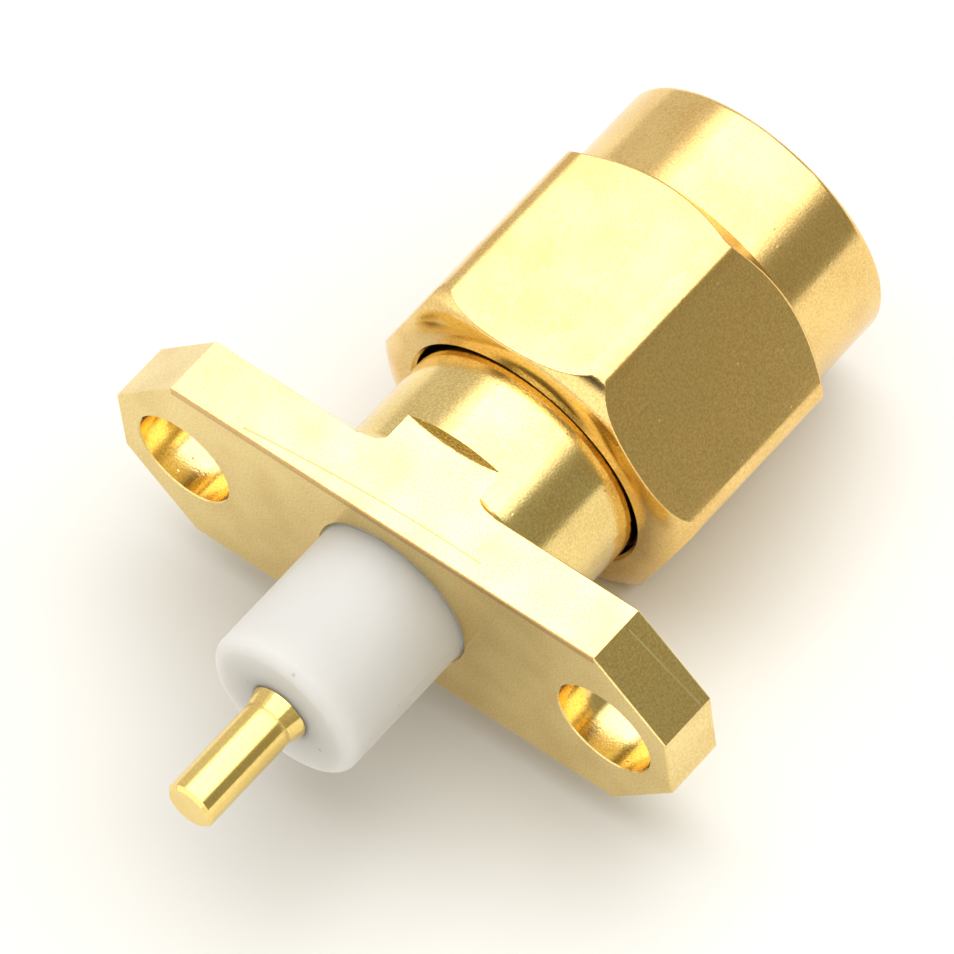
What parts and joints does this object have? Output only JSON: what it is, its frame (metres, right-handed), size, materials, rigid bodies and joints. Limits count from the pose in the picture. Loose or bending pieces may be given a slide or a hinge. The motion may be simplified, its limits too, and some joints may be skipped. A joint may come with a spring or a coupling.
{
  "type": "sma connector",
  "caption": "Coaxial panel plug with a threaded hex coupling nut, an oblong flange with screw holes, and an insulator and solder post standing out behind.",
  "frame": {"origin": "on the connector's axis, in the rear face of the flange, midway between the screw holes", "axes": "+Y along the connector's axis towards its mating end, X along the flange through both screw holes, +Z across the flange"},
  "size_m": [0.016, 0.0201, 0.008],
  "materials": {
    "gold_plated_body": "satin gold plate",
    "gold_plated_nut": "satin gold plate",
    "gold_plated_contact": "bright gold plate",
    "spring_alloy": "bare spring bronze",
    "silicone": "matte",
    "ptfe": "soft waxy white"
  },
  "bodies": {
    "plug_body": {"flange_body": "gold_plated_body", "insulator": "ptfe", "centre_contact": "gold_plated_contact", "gasket": "silicone", "retaining_ring": "spring_alloy"},
    "nut": {"coupling_nut": "gold_plated_nut"}
  },
  "joints": [
    {"name": "nut_spin", "type": "hinge", "parent": "plug_body", "child": "nut", "pos_m": [0, 0.008, 0], "axis": [0, 1, 0], "continuous": true}
  ]
}
